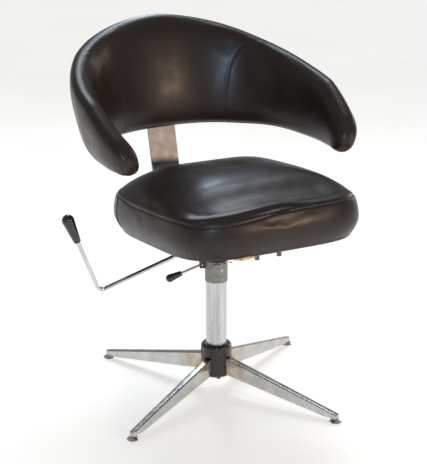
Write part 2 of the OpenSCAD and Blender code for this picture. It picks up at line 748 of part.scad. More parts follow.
module seat_top_cover() color([0.16, 0.12, 0.11]) in_seat_frame() ring_solid([
    for (i = [len(crown_steps) - 1 : -1 : 0]) let (s = crown_steps[i])
        seat_ring(s, crown_z(s) - skin_t, skin_t),
    for (s = crown_steps) seat_ring(s, crown_z(s))
]);

module seat_side_band() color([0.15, 0.115, 0.105]) in_seat_frame() ring_solid([
    seat_ring(lip_share, 0),
    for (i = [0 : band_steps]) seat_ring(band_share(band_z(i)), band_z(i)),
    for (i = [band_steps : -1 : 0]) let (z = max(skin_t, band_z(i))) seat_ring(band_share(z), z, skin_t),
    seat_ring(lip_share, skin_t)
], closed = true);

module seat_dust_cover() color([0.1, 0.1, 0.1]) in_seat_frame() difference() {
    translate([0, 0, -dust_t]) linear_extrude(dust_t) polygon(flat(seat_ring(dust_share, 0)));
    translate([-bar_w / 2 - 1, -flange_y, -5]) cube([bar_w + 2, seat_d, 10]);
    translate([-flange_x / 2 - 1, -flange_y / 2 - 1, -5]) cube([flange_x + 2, flange_y + 2, 10]);
    for (sx = [-1, 1]) translate([sx * stud_x, stud_y, -5]) cylinder(r = bolt_r, h = 10);
}

// ---- back bar ----
// Moves to the bar's upper part: x across, y along the bar, z out of its front face
module on_bar() translate([0, bar_corner_y, bar_corner_z]) rotate([bar_rise, 0, 0]) children();

module back_bar() color([0.62, 0.6, 0.57]) difference() {
    union() {
        in_seat_frame() translate([-bar_w / 2, -flange_y / 2, bar_top - bar_t])
            cube([bar_w, bar_run + flange_y / 2 + join, bar_t]);
        in_seat_frame() translate([-bar_w / 2, bar_run, bar_top + bar_bend_r]) rotate([90, 0, 90])
            rotate([0, 0, -90]) rotate_extrude(angle = bar_turn, $fn = 128)
                translate([bar_bend_r, 0]) square([bar_t, bar_w]);
        on_bar() translate([-bar_w / 2, bar_set_back - join, -bar_t])
            cube([bar_w, bar_up_len - bar_set_back + join, bar_t]);
    }
    in_seat_frame() for (sx = [-1, 1], sy = [-1, 1]) translate([sx * bolt_x, sy * bolt_y, -20])
        cylinder(r = bolt_r, h = 30);
    on_bar() for (sx = [-1, 1], z = bar_screw_z)
        translate([sx * bar_screw_x, (z - bar_corner_z) / cos(bar_lean), -bar_t - 1])
            cylinder(r = bar_screw_r, h = bar_t + 2);
}

module back_screws() color([0.7, 0.7, 0.7]) on_bar() for (sx = [-1, 1], z = bar_screw_z)
    translate([sx * bar_screw_x, (z - bar_corner_z) / cos(bar_lean), -bar_t]) {
        cylinder(r = bar_screw_r, h = bar_t + bar_screw_in);
        rotate_extrude() intersection() {
            translate([0, 4.5]) circle(r = 8);
            translate([0, -3.5]) square([8, 3.5]);
        }
    }

// ---- back: a padded band swept round the sitter ----
// side runs from -1, the right arm's tip, through 0, the middle, to 1, the left arm's tip.
function mix(a, b, u) = a + (b - a) * u;
function back_plan(side) = let (u = abs(side), q = min(1, u / (1 - arm_share)) * 90,
    e = max(0, (u - 1 + arm_share) / arm_share))
    [sign(side) * (back_half_w * pow(sin(q), 2 / back_power) - arm_tuck * e * e),
     back_reach * pow(cos(q), 2 / back_power) - arm_reach * e];
function back_normal(side) = let (d = back_plan(min(1, side + 0.002)) - back_plan(max(-1, side - 0.002)))
    [-d[1], d[0]] / norm(d);
function tip_scale(side) = let (e = max(0, (abs(side) - tip_start) / (1 - tip_start)))
    pow(max(0, 1 - pow(e, tip_power)), 1 / tip_power);
function back_high(side) = mix(back_top_z, arm_top_z, pow(abs(side), top_fall_power));
function back_thick(side) = mix(back_pad_t, arm_pad_t, min(1, 2 * abs(side)));
// A point at distance out from the padding's middle and at height up from the section's centre
function back_at(side, out, up) = let (
    h = back_high(side) - back_low_z, p = back_plan(side), n = back_normal(side),
    o = out + mix(back_lean, arm_lean, abs(side)) * up / h)
    [p[0] + n[0] * o, p[1] + n[1] * o, back_low_z + h / 2 + up];
// turn is 0 outwards, 90 at the top edge, 180 inwards and 270 at the lower edge
function section_out(side, turn, inset) =
    (back_thick(side) / 2 * tip_scale(side) - inset) * signed_power(cos(turn), 2 / pad_power);
function section_up(side, turn, inset) =
    ((back_high(side) - back_low_z) / 2 * tip_scale(side) - inset) * signed_power(sin(turn), 2 / pad_power);

// A strip of the skin between two turns of the section, from one side angle to another
module skin_strip(from_a, to_a, from_turn, to_turn) {
    ring_solid([for (a = [from_a : back_step : to_a]) let (s = sin(a)) [
        for (t = [from_turn : turn_step : to_turn])
            back_at(s, section_out(s, t, 0), section_up(s, t, 0)),
        for (t = [to_turn : -turn_step : from_turn])
            back_at(s, section_out(s, t, skin_t), section_up(s, t, skin_t))
    ]]);
}

// Half of the padding: way is -1 for the front and 1 for the rear
module foam_half(way) {
    inset = skin_t + foam_gap;
    ring_solid([for (a = [-foam_end : back_step : foam_end]) let (s = sin(a),
        core = abs(a) > shell_end ? join : shell_t / 2 + join) [
        for (t = [90 : -turn_step : -90]) let (turn = way > 0 ? t : t + 180)
            back_at(s, way * max(core, way * section_out(s, turn, inset)), section_up(s, turn, inset))
    ]]);
}

module back_shell() color([0.62, 0.47, 0.3])
    ring_solid([for (a = [-shell_end : back_step : shell_end]) let (s = sin(a),
        half = (back_high(s) - back_low_z) / 2 - shell_edge) [
        for (c = [[1, -1], [1, 1], [-1, 1], [-1, -1]]) back_at(s, c[0] * shell_t / 2, c[1] * half)
    ]]);

module back_foam_front() color([0.85, 0.72, 0.5]) foam_half(-1);
module back_foam_rear() color([0.85, 0.72, 0.5]) foam_half(1);
module back_cover_middle() color([0.17, 0.13, 0.12])
    skin_strip(-arm_seam, arm_seam, seam_high, seam_low);
module back_cover_right_arm() color([0.15, 0.11, 0.1])
    skin_strip(-cover_end, -arm_seam, seam_high, seam_low);
module back_cover_left_arm() color([0.15, 0.11, 0.1])
    skin_strip(arm_seam, cover_end, seam_high, seam_low);
module back_cover_outer() color([0.14, 0.105, 0.095])
    skin_strip(-cover_end, cover_end, seam_low - 360, seam_high);

base_hub();
leg(1);  // leg_1
leg(2);  // leg_2
leg(3);  // leg_3
leg(4);  // leg_4
glide(1);  // glide_1
glide(2);  // glide_2
glide(3);  // glide_3
glide(4);  // glide_4
glide_pads();
leg_clamp_plate();
clamp_plate_screws();
hub_set_screws();
column_tube();
column_end_plug();
guide_bush();
gland_ring();
wiper_seal();
piston();
piston_seals();
thrust_lower_race();
thrust_balls();
thrust_upper_race();
ram_tube();
rod_guide_disc();
pump_barrel();
pump_push_rod();
plunger_seal();
pump_return_spring();
release_rod();
release_spring();
head_casting();
head_skirt();
ram_cross_pin();
lever_pivot_pin();
lever_arm();
lever_rod();
lever_knob();
release_bracket();
release_pivot_pin();
release_lever();
release_knob();
seat_board();
seat_t_nuts();
seat_bolts();
front_studs();
seat_foam();
seat_top_cover();
seat_side_band();
seat_dust_cover();
back_bar();
back_screws();
back_shell();
back_foam_front();
back_foam_rear();
back_cover_middle();
back_cover_right_arm();
back_cover_left_arm();
back_cover_outer();
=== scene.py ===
"""Hydraulic barber chair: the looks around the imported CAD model, in metres."""
import math

import bmesh
import bpy
import numpy as np
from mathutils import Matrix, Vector


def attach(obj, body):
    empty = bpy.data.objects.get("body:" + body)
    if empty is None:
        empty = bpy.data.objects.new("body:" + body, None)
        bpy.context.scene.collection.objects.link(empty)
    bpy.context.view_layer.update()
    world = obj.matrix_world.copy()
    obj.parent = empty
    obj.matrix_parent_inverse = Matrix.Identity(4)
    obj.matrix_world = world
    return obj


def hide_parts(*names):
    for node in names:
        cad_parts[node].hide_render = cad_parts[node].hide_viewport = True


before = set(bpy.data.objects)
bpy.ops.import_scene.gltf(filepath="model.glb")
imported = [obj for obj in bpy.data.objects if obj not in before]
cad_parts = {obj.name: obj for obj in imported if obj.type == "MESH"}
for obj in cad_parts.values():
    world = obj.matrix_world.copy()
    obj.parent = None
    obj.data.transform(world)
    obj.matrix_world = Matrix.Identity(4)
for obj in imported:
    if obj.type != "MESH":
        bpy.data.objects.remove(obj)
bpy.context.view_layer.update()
scene = bpy.context.scene

# ---- seat sizes, in the seat's own tilted frame ----
SEAT_W, SEAT_D = 0.466, 0.488
SEAT_FORWARD = 0.088
SEAT_TILT = math.radians(5.1)
SEAT_Z = 0.421
BAND_H, CROWN_H = 0.0865, 0.0655
SEAT_POWER, CROWN_POWER = 4.7, 3.6
CREASE_SHARE, RIM_SHARE = 0.97, 0.925
DUST_SHARE = 0.87

# ---- back sizes ----
HALF_W, REACH = 0.287, 0.291
ARM_REACH, ARM_TUCK, ARM_SHARE = 0.120, 0.018, 0.31
TOP_Z, ARM_TOP_Z, LOW_Z = 0.872, 0.651, 0.601
BACK_POWER, PAD_POWER, FALL_POWER = 2.1, 2.8, 1.45
BACK_PAD, ARM_PAD = 0.072, 0.058
BACK_LEAN, ARM_LEAN = 0.058, 0.0144
ARM_SAG = 0.006, 0.0125
ARM_POWER = 2.3
TIP_START, TIP_POWER = 0.9, 2.5

# ---- leg sizes ----
FOOT_R, LEG_TURN = 0.333, math.radians(27.8)
LEG_ROOT_R, LEG_ROOT_W, LEG_TIP_W = 0.028, 0.020, 0.0145
LEG_TOP_Z, LEG_UNDER_Z, LEG_TIP_H, LEG_WALL = 0.091, 0.046, 0.012, 0.0025
HUB_R, FOOT_H = 0.037, 0.009


# ---- small maths ----
def signed_power(value, power):
    return np.sign(value) * np.abs(value) ** power


def mix(a, b, share):
    return a + (b - a) * share


def hill(x, centre, width):
    """A smooth hill of height 1."""
    return np.exp(-(((x - centre) / width) ** 2))


def ease(x, low, high):
    """Rises smoothly from 0 at low to 1 at high."""
    t = np.clip((x - low) / (high - low), 0, 1)
    return t * t * (3 - 2 * t)


def waves(points, size, seed):
    """Smooth wandering values between about -1 and 1, with features of the given size."""
    rng = np.random.default_rng(seed)
    total = np.zeros(len(points))
    for _ in range(7):
        direction = rng.normal(size=3)
        direction *= rng.uniform(0.6, 1.5) / np.linalg.norm(direction)
        total += np.sin(points @ direction * 2 * math.pi / size + rng.uniform(0, 6.28))
    return total / 3.2


# ---- mesh building ----
def add_mesh(name, verts, faces, material, smooth=True):
    mesh = bpy.data.meshes.new(name)
    mesh.from_pydata([tuple(map(float, v)) for v in verts], [], faces)
    mesh.validate()
    bm = bmesh.new()
    bm.from_mesh(mesh)
    bmesh.ops.recalc_face_normals(bm, faces=bm.faces)
    bm.to_mesh(mesh)
    bm.free()
    piece = bpy.data.objects.new(name, mesh)
    scene.collection.objects.link(piece)
    mesh.materials.append(material)
    if smooth:
        mesh.polygons.foreach_set("use_smooth", [True] * len(mesh.polygons))
    return piece


def loft(name, rings, material, closed=False, smooth=True):
    """A closed solid through rings of equal length, with a fan at each end, or a closed loop of rings."""
    rings = np.asarray(rings, float)
    count, size = rings.shape[:2]
    verts = rings.reshape(-1, 3)
    spans = count if closed else count - 1
    faces = []
    for j in range(spans):
        a, b = j * size, (j + 1) % count * size
        for i in range(size):
            k = (i + 1) % size
            faces.append((a + i, a + k, b + k, b + i))
    if not closed:
        verts = np.vstack([verts, rings[0].mean(0), rings[-1].mean(0)])
        first, last = count * size, count * size + 1
        end = (count - 1) * size
        faces += [(first, (i + 1) % size, i) for i in range(size)]
        faces += [(last, end + i, end + (i + 1) % size) for i in range(size)]
    return add_mesh(name, verts, faces, material, smooth)


def coords(piece):
    out = np.empty(len(piece.data.vertices) * 3, np.float32)
    piece.data.vertices.foreach_get("co", out)
    return out.reshape(-1, 3).astype(float)


def set_coords(piece, points):
    piece.data.vertices.foreach_set("co", points.astype(np.float32).ravel())
    piece.data.update()


def normals(piece):
    out = np.empty(len(piece.data.vertices) * 3, np.float32)
    piece.data.vertex_normals.foreach_get("vector", out)
    return out.reshape(-1, 3).astype(float)


def store(piece, name, values):
    layer = piece.data.attributes.new(name, "FLOAT", "POINT")
    layer.data.foreach_set("value", np.asarray(values, np.float32))


def stored(piece, name):
    out = np.empty(len(piece.data.vertices), np.float32)
    piece.data.attributes[name].data.foreach_get("value", out)
    return out.astype(float)


def swell(piece, pressure, cap, held=None):
    """Lets air pressure fill the cover as cloth for 20 frames.
    No point moves further than cap, and the held ones stay."""
    before = coords(piece)
    cloth = piece.modifiers.new("swell", "CLOTH")
    settings = cloth.settings
    settings.quality = 5
    settings.mass = 0.3
    settings.tension_stiffness = settings.compression_stiffness = 25
    settings.shear_stiffness = 8
    settings.bending_stiffness = 1.5
    settings.use_pressure = True
    settings.uniform_pressure_force = pressure
    settings.effector_weights.gravity = 0
    if held is not None:
        group = piece.vertex_groups.new(name="held")
        group.add([int(i) for i in np.flatnonzero(held)], 1.0, "REPLACE")
        settings.vertex_group_mass = "held"
    cloth.point_cache.frame_start, cloth.point_cache.frame_end = 1, 20
    for number in range(1, 21):
        scene.frame_set(number)
    graph = bpy.context.evaluated_depsgraph_get()
    result = piece.evaluated_get(graph).data
    after = np.empty(len(before) * 3, np.float32)
    result.vertices.foreach_get("co", after)
    move = after.reshape(-1, 3) - before
    length = np.linalg.norm(move, axis=1, keepdims=True)
    move *= np.minimum(1, cap / np.maximum(length, 1e-9))
    piece.modifiers.remove(cloth)
    piece.vertex_groups.clear()
    scene.frame_set(1)
    set_coords(piece, before + move)


def refine(piece, levels):
    """Replaces the mesh with its subdivision surface."""
    subdivide = piece.modifiers.new("refine", "SUBSURF")
    subdivide.levels = subdivide.render_levels = levels
    graph = bpy.context.evaluated_depsgraph_get()
    smooth = piece.evaluated_get(graph)
    fine = bpy.data.meshes.new_from_object(smooth, preserve_all_data_layers=True, depsgraph=graph)
    piece.modifiers.clear()
    piece.data = fine
    fine.polygons.foreach_set("use_smooth", [True] * len(fine.polygons))


def even_turns(half_out, half_up, power, count):
    """Turns round a superellipse that lie an equal way apart along it."""
    turn = np.linspace(0, 2 * math.pi, 4001)
    x = half_out * signed_power(np.cos(turn), 2 / power)
    y = half_up * signed_power(np.sin(turn), 2 / power)
    way = np.concatenate([[0], np.cumsum(np.hypot(np.diff(x), np.diff(y)))])
    return np.interp(np.arange(count) * way[-1] / count, way, turn)


def tube(name, points, radius, material, sides=8, taper=None):
    """A round cord through the points, with closed ends."""
    points = np.asarray(points, float)
    forward = np.gradient(points, axis=0)
    forward /= np.linalg.norm(forward, axis=1, keepdims=True)
    up = np.array([0.13, 0.27, 0.95])
    side = np.cross(forward, up)
    side /= np.linalg.norm(side, axis=1, keepdims=True)
    over = np.cross(side, forward)
    turn = np.arange(sides) * 2 * math.pi / sides
    radii = radius * (np.ones(len(points)) if taper is None else taper)
    rings = points[:, None] + radii[:, None, None] * (
        np.cos(turn)[None, :, None] * side[:, None] + np.sin(turn)[None, :, None] * over[:, None])
    return loft(name, rings, material)


# ---- materials ----
class Shader:
    """Builds one Principled material node by node."""

    def __init__(self, name, **values):
        self.material = bpy.data.materials.new(name)
        self.material.use_nodes = True
        self.tree = self.material.node_tree
        self.surface = self.tree.nodes["Principled BSDF"]
        self.place = self.add("ShaderNodeTexCoord").outputs["Object"]
        for socket, value in values.items():
            self.surface.inputs[socket.replace("_", " ")].default_value = value

    def add(self, kind, **values):
        node = self.tree.nodes.new(kind)
        for key, value in values.items():
            setattr(node, key, value)
        return node

    def link(self, source, target):
        self.tree.links.new(source, target)

    def stretch(self, scale):
        node = self.add("ShaderNodeMapping")
        node.inputs["Scale"].default_value = scale
        self.link(self.place, node.inputs["Vector"])
        return node.outputs["Vector"]

    def noise(self, scale, detail=4, rough=0.55, place=None, distort=0.0):
        node = self.add("ShaderNodeTexNoise")
        settings = {"Scale": scale, "Detail": detail, "Roughness": rough, "Distortion": distort}
        for socket, value in settings.items():
            node.inputs[socket].default_value = value
        self.link(place or self.place, node.inputs["Vector"])
        return node.outputs["Fac"]

    def cells(self, scale, feature="F1", place=None):
        node = self.add("ShaderNodeTexVoronoi", feature=feature)
        node.inputs["Scale"].default_value = scale
        self.link(place or self.place, node.inputs["Vector"])
        return node.outputs["Distance"]

    def ramp(self, source, *stops):
        """Turns a value into a colour or grey through (place, colour) stops."""
        node = self.add("ShaderNodeValToRGB")
        while len(node.color_ramp.elements) < len(stops):
            node.color_ramp.elements.new(0.5)
        for element, (at, colour) in zip(node.color_ramp.elements, stops):
            element.position = at
            element.color = (*colour, 1) if hasattr(colour, "__len__") else (colour, colour, colour, 1)
        self.link(source, node.inputs["Fac"])
        return node.outputs["Color"]

    def span(self, source, low, high, at=(0.3, 0.7)):
        node = self.add("ShaderNodeMapRange")
        for socket, value in (("From Min", at[0]), ("From Max", at[1]), ("To Min", low), ("To Max", high)):
            node.inputs[socket].default_value = value
        self.link(source, node.inputs["Value"])
        return node.outputs["Result"]

    def times(self, a, b, operation="MULTIPLY"):
        node = self.add("ShaderNodeMath", operation=operation)
        for socket, value in zip(node.inputs, (a, b)):
            if isinstance(value, (int, float)):
                socket.default_value = value
            else:
                self.link(value, socket)
        return node.outputs["Value"]

    def blend(self, share, a, b):
        node = self.add("ShaderNodeMix", data_type="RGBA")
        sockets = [s for s in node.inputs if s.enabled]
        self.link(share, sockets[0])
        for socket, value in zip(sockets[1:], (a, b)):
            if isinstance(value, tuple):
                socket.default_value = (*value, 1)
            else:
                self.link(value, socket)
        return [s for s in node.outputs if s.enabled][0]

    def colour(self, source):
        self.link(source, self.surface.inputs["Base Color"])

    def roughness(self, source):
        self.link(source, self.surface.inputs["Roughness"])

    def relief(self, *layers):
        """Bump from (height, depth in metres) layers."""
        last = None
        for height, depth in layers:
            node = self.add("ShaderNodeBump")
            node.inputs["Strength"].default_value = 1.0
            node.inputs["Distance"].default_value = depth
            self.link(height, node.inputs["Height"])
            if last:
                self.link(last, node.inputs["Normal"])
            last = node.outputs["Normal"]
        self.link(last, self.surface.inputs["Normal"])

    def away_from_axis(self):
        """Distance from the column's axis in metres."""
        split = self.add("ShaderNodeSeparateXYZ")
        self.link(self.place, split.inputs["Vector"])
        squares = self.times(self.times(split.outputs["X"], split.outputs["X"]),
                             self.times(split.outputs["Y"], split.outputs["Y"]), "ADD")
        return self.times(squares, 0.5, "POWER")

    def height(self):
        split = self.add("ShaderNodeSeparateXYZ")
        self.link(self.place, split.inputs["Vector"])
        return split.outputs["Z"]


def make_vinyl(name, dark, light):
    m = Shader(name, Specular_IOR_Level=0.36, Coat_Weight=0.10, Coat_Roughness=0.22)
    patches = m.noise(7, 5, 0.6)
    tone = m.ramp(patches, (0.3, dark), (0.72, light))
    worn = m.ramp(m.noise(38, 6, 0.7), (0.62, 0.0), (0.78, 0.35))
    m.colour(m.blend(worn, tone, tuple(c * 1.5 for c in light)))
    m.roughness(m.span(m.noise(24, 5, 0.65), 0.30, 0.44))
    pebbles = m.cells(780)
    creases = m.noise(95, 6, 0.62, distort=0.6)
    m.relief((m.noise(13, 3), 0.0009), (creases, 0.00028), (pebbles, 0.00007))
    return m.material


def make_chrome(name, tint, rough, stain=None, specks=0.0):
    """Chrome plate with fine scratches and dull patches. stain adds brown bloom near the hub."""
    m = Shader(name, Metallic=1.0, Specular_IOR_Level=0.5)
    haze = m.noise(26, 6, 0.65)
    tone = m.ramp(haze, (0.25, tuple(c * 0.72 for c in tint)), (0.7, tint))
    if specks:
        pits = m.ramp(m.noise(150, 4, 0.7), (0.64, 0.0), (0.70, specks))
        tone = m.blend(pits, tone, (0.09, 0.055, 0.03))
    if stain:
        colour, inner, outer = stain
        near = m.span(m.away_from_axis(), 1.0, 0.0, (inner, outer))
        patch = m.ramp(m.noise(34, 5, 0.7), (0.40, 0.0), (0.66, 1.0))
        tone = m.blend(m.times(near, patch), tone, colour)
    m.colour(tone)
    m.roughness(m.span(m.noise(60, 5, 0.6), rough * 0.6, rough * 1.6))
    m.relief((m.noise(9, 2), 0.0002), (m.noise(600, 2, 0.5, m.stretch((1, 1, 0.12))), 0.000004))
    return m.material


def make_column(name):
    m = Shader(name, Metallic=0.92, Specular_IOR_Level=0.5)
    streaks = m.noise(150, 6, 0.7, m.stretch((1, 1, 0.035)))
    tone = m.ramp(streaks, (0.3, (0.46, 0.47, 0.48)), (0.62, (0.72, 0.73, 0.74)))
    grime = m.ramp(m.noise(46, 6, 0.75), (0.58, 0.0), (0.72, 0.55))
    m.colour(m.blend(grime, tone, (0.27, 0.25, 0.22)))
    m.roughness(m.span(streaks, 0.24, 0.44))
    m.relief((streaks, 0.00003), (m.noise(300, 4), 0.00002))
    return m.material


def make_dull_plate(name, tint):
    m = Shader(name, Metallic=0.75, Specular_IOR_Level=0.4)
    blotch = m.noise(70, 7, 0.75)
    dark = tuple(c * 0.5 for c in tint)
    light = tuple(c * 1.25 for c in tint)
    m.colour(m.ramp(blotch, (0.3, dark), (0.52, tint), (0.75, light)))
    m.roughness(m.span(blotch, 0.38, 0.6))
    m.relief((m.noise(420, 4), 0.00004))
    return m.material


def make_bar_plate(name):
    """Flat bar: brushed chrome worn to brownish grey, with a painted highlight: a bright band low down where
    it bends forward.
    """
    m = Shader(name, Metallic=1.0, Specular_IOR_Level=0.5)
    brushed = m.noise(420, 5, 0.6, m.stretch((0.06, 1, 1)))
    clouds = m.noise(30, 6, 0.7)
    dark, middle, light = (0.095, 0.100, 0.102), (0.165, 0.174, 0.178), (0.27, 0.285, 0.30)
    worn = m.ramp(clouds, (0.3, dark), (0.5, middle), (0.72, light))
    rust = m.ramp(m.noise(55, 7, 0.75), (0.60, 0.0), (0.70, 0.4))
    tone = m.blend(rust, worn, (0.16, 0.10, 0.055))
    # Painted highlight: the bar is pale below about 0.48 m, standing in for the light caught where it bends
    # forward.
    bend = m.span(m.height(), 1.0, 0.0, (0.480, 0.505))
    m.colour(m.blend(bend, tone, (0.80, 0.80, 0.79)))
    m.roughness(m.span(clouds, 0.26, 0.46))
    m.relief((brushed, 0.00002), (m.noise(240, 4), 0.00002))
    return m.material


def make_enamel(name, tint, rough=0.3, chips=0.0):
    m = Shader(name, Specular_IOR_Level=0.5, Coat_Weight=0.3, Coat_Roughness=0.15)
    tone = m.ramp(m.noise(50, 5, 0.6), (0.3, tuple(c * 0.7 for c in tint)), (0.7, tint))
    if chips:
        bare = m.ramp(m.noise(120, 6, 0.75), (0.60, 0.0), (0.68, chips))
        tone = m.blend(bare, tone, (0.20, 0.15, 0.11))
    m.colour(tone)
    m.roughness(m.span(m.noise(80, 4), rough * 0.7, rough * 1.5))
    m.relief((m.noise(160, 4, 0.6), 0.00012))
    return m.material


def make_knob(name):
    m = Shader(name, Specular_IOR_Level=0.55, Coat_Weight=0.5, Coat_Roughness=0.06)
    m.colour(m.ramp(m.noise(60, 4), (0.3, (0.008, 0.008, 0.009)), (0.7, (0.016, 0.015, 0.015))))
    m.roughness(m.span(m.noise(200, 4), 0.10, 0.24))
    m.relief((m.noise(260, 3), 0.00003))
    return m.material


def make_steel(name, tint, rough):
    m = Shader(name, Metallic=1.0)
    turned = m.noise(260, 4, 0.6, m.stretch((0.15, 0.15, 1)))
    m.colour(m.ramp(turned, (0.3, tuple(c * 0.75 for c in tint)), (0.7, tint)))
    m.roughness(m.span(turned, rough * 0.7, rough * 1.3))
    m.relief((turned, 0.00002))
    return m.material


def make_rubber(name):
    m = Shader(name, Specular_IOR_Level=0.3)
    m.colour(m.ramp(m.noise(90, 4), (0.3, (0.012, 0.012, 0.012)), (0.7, (0.028, 0.027, 0.026))))
    m.roughness(m.span(m.noise(140, 4), 0.5, 0.75))
    m.relief((m.noise(400, 3), 0.00005))
    return m.material


def make_foam(name):
    """Aged open-cell foam: cream turning orange."""
    m = Shader(name, Specular_IOR_Level=0.15, Subsurface_Weight=0.1)
    orange, tan, cream = (0.62, 0.30, 0.10), (0.78, 0.55, 0.27), (0.86, 0.74, 0.52)
    m.colour(m.ramp(m.noise(90, 5, 0.7), (0.32, orange), (0.5, tan), (0.7, cream)))
    m.roughness(m.span(m.noise(300, 4), 0.8, 0.98))
    m.relief((m.cells(700), 0.0006), (m.noise(160, 5), 0.0010))
    return m.material


def make_plywood(name):
    m = Shader(name, Specular_IOR_Level=0.3)
    grain = m.noise(60, 6, 0.65, m.stretch((0.4, 6, 6)))
    m.colour(m.ramp(grain, (0.3, (0.27, 0.16, 0.08)), (0.7, (0.46, 0.31, 0.17))))
    m.roughness(m.span(grain, 0.5, 0.75))
    m.relief((grain, 0.0002))
    return m.material


def make_cambric(name):
    """Thin black lining cloth with an open weave."""
    m = Shader(name, Specular_IOR_Level=0.2, Sheen_Weight=0.15)
    warp = m.add("ShaderNodeTexWave", bands_direction="X")
    weft = m.add("ShaderNodeTexWave", bands_direction="Y")
    for wave in (warp, weft):
        wave.inputs["Scale"].default_value = 260
        m.link(m.place, wave.inputs["Vector"])
    weave = m.times(warp.outputs["Fac"], weft.outputs["Fac"])
    m.colour(m.ramp(m.noise(30, 5, 0.7), (0.3, (0.012, 0.011, 0.011)), (0.7, (0.045, 0.041, 0.038))))
    m.roughness(m.span(weave, 0.75, 0.95))
    m.relief((weave, 0.0003), (m.noise(18, 3), 0.0012))
    return m.material


HIDE_BACK = make_vinyl("hide_back", (0.0185, 0.0095, 0.0068), (0.0300, 0.0165, 0.0120))
HIDE_SEAT = make_vinyl("hide_seat", (0.0150, 0.0080, 0.0062), (0.0245, 0.0138, 0.0106))
HIDE_EDGE = make_vinyl("hide_edge", (0.012, 0.0085, 0.0075), (0.022, 0.0160, 0.0140))
LEG_CHROME = make_chrome("leg_chrome", (0.64, 0.635, 0.625), 0.20, ((0.42, 0.26, 0.10), 0.045, 0.13), 0.12)
GLIDE_CHROME = make_chrome("glide_chrome", (0.86, 0.86, 0.87), 0.07)
ROD_CHROME = make_chrome("rod_chrome", (0.74, 0.73, 0.72), 0.12, None, 0.25)
RAM_CHROME = make_chrome("ram_chrome", (0.80, 0.80, 0.82), 0.06)
COLUMN = make_column("column_satin")
SKIRT = make_dull_plate("skirt_dull", (0.30, 0.305, 0.275))
BAR_PLATE = make_bar_plate("bar_chrome")
ENAMEL = make_enamel("enamel_black", (0.020, 0.016, 0.0145), 0.3, 0.5)
CASTING = make_enamel("casting_grey", (0.035, 0.033, 0.030), 0.5, 0.4)
KNOB = make_knob("knob_black")
STEEL = make_steel("turned_steel", (0.55, 0.545, 0.53), 0.3)
DARK_STEEL = make_steel("dark_steel", (0.16, 0.155, 0.15), 0.4)
BRONZE = make_steel("bronze", (0.52, 0.36, 0.16), 0.3)
RUBBER = make_rubber("seal_rubber")
FOAM = make_foam("foam")
PLYWOOD = make_plywood("plywood")
CAMBRIC = make_cambric("dust_cloth")


def paint(material, *names):
    """Gives CAD nodes a material through their slots."""
    for name in names:
        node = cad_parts[name]
        if not node.material_slots:
            node.data.materials.append(material)
        for slot in node.material_slots:
            slot.material = material


paint(ENAMEL, "base_hub", "release_bracket")
paint(GLIDE_CHROME, "glide_1", "glide_2", "glide_3", "glide_4")
paint(RUBBER, "glide_pads", "wiper_seal", "piston_seals", "plunger_seal")
paint(DARK_STEEL, "leg_clamp_plate", "clamp_plate_screws", "hub_set_screws", "seat_bolts", "front_studs")
paint(COLUMN, "column_tube")
paint(STEEL, "column_end_plug", "gland_ring", "piston", "thrust_lower_race", "thrust_balls",
      "thrust_upper_race", "pump_barrel", "pump_push_rod", "release_rod", "pump_return_spring",
      "release_spring", "ram_cross_pin", "lever_pivot_pin", "release_pivot_pin", "seat_t_nuts",
      "back_screws")
paint(BRONZE, "guide_bush", "rod_guide_disc")
paint(RAM_CHROME, "ram_tube")
paint(CASTING, "head_casting", "lever_arm")
paint(SKIRT, "head_skirt")
paint(ROD_CHROME, "lever_rod", "release_lever")
paint(KNOB, "lever_knob", "release_knob")
paint(PLYWOOD, "seat_board")
paint(BAR_PLATE, "back_bar")


# ---- back ----
def back_plan(side):
    u = np.abs(side)
    q = np.minimum(1, u / (1 - ARM_SHARE)) * math.pi / 2
    e = np.maximum(0, (u - 1 + ARM_SHARE) / ARM_SHARE)
    x = np.sign(side) * (HALF_W * np.sin(q) ** (2 / BACK_POWER) - ARM_TUCK * e * e)
    y = REACH * np.maximum(0, np.cos(q)) ** (2 / BACK_POWER) - ARM_REACH * e
    return np.stack([x, y], -1)


def back_normal(side):
    step = back_plan(np.minimum(1, side + 0.002)) - back_plan(np.maximum(-1, side - 0.002))
    out = np.stack([-step[..., 1], step[..., 0]], -1)
    return out / np.linalg.norm(out, axis=-1, keepdims=True)


def back_point(angle, turn, inset=0.0):
    """A point of the back's skin. angle runs from -90 degrees at the right arm's tip to 90 at the left arm's.
    turn is 0 outwards, 90 at the top edge, 180 inwards and 270 at the lower edge."""
    side = np.sin(angle)
    near_tip = np.maximum(0, (np.abs(side) - TIP_START) / (1 - TIP_START))
    scale = np.maximum(0, 1 - near_tip ** TIP_POWER) ** (1 / TIP_POWER)
    low = LOW_Z - np.where(side < 0, *ARM_SAG) * ease(np.abs(side), 0.4, 0.85)
    height = mix(TOP_Z, ARM_TOP_Z, np.abs(side) ** FALL_POWER) - low
    thick = mix(BACK_PAD, ARM_PAD, np.minimum(1, 2 * np.abs(side)))
    half_out = np.maximum(0.0004, thick / 2 * scale - inset)
    half_up = np.maximum(0.0004, height / 2 * scale - inset)
    power = mix(PAD_POWER, ARM_POWER, ease(np.abs(side), 0.35, 0.85))
    out = half_out * signed_power(np.cos(turn), 2 / power)
    up = half_up * signed_power(np.sin(turn), 2 / power)
    out = out + mix(BACK_LEAN, ARM_LEAN, np.abs(side)) * up / height
    flat = back_plan(side) + back_normal(side) * out[..., None]
    return np.concatenate([flat, (low + height / 2 + up)[..., None]], -1)


ARM_SEAM_TOP, ARM_SEAM_LOW = 0.41, 0.25


def back_seam_side(turn):
    """Where the seam between the middle and an arm lies: it slants inwards on its way down the front."""
    return mix(ARM_SEAM_TOP, ARM_SEAM_LOW, ease(turn, math.radians(70), math.radians(200)))


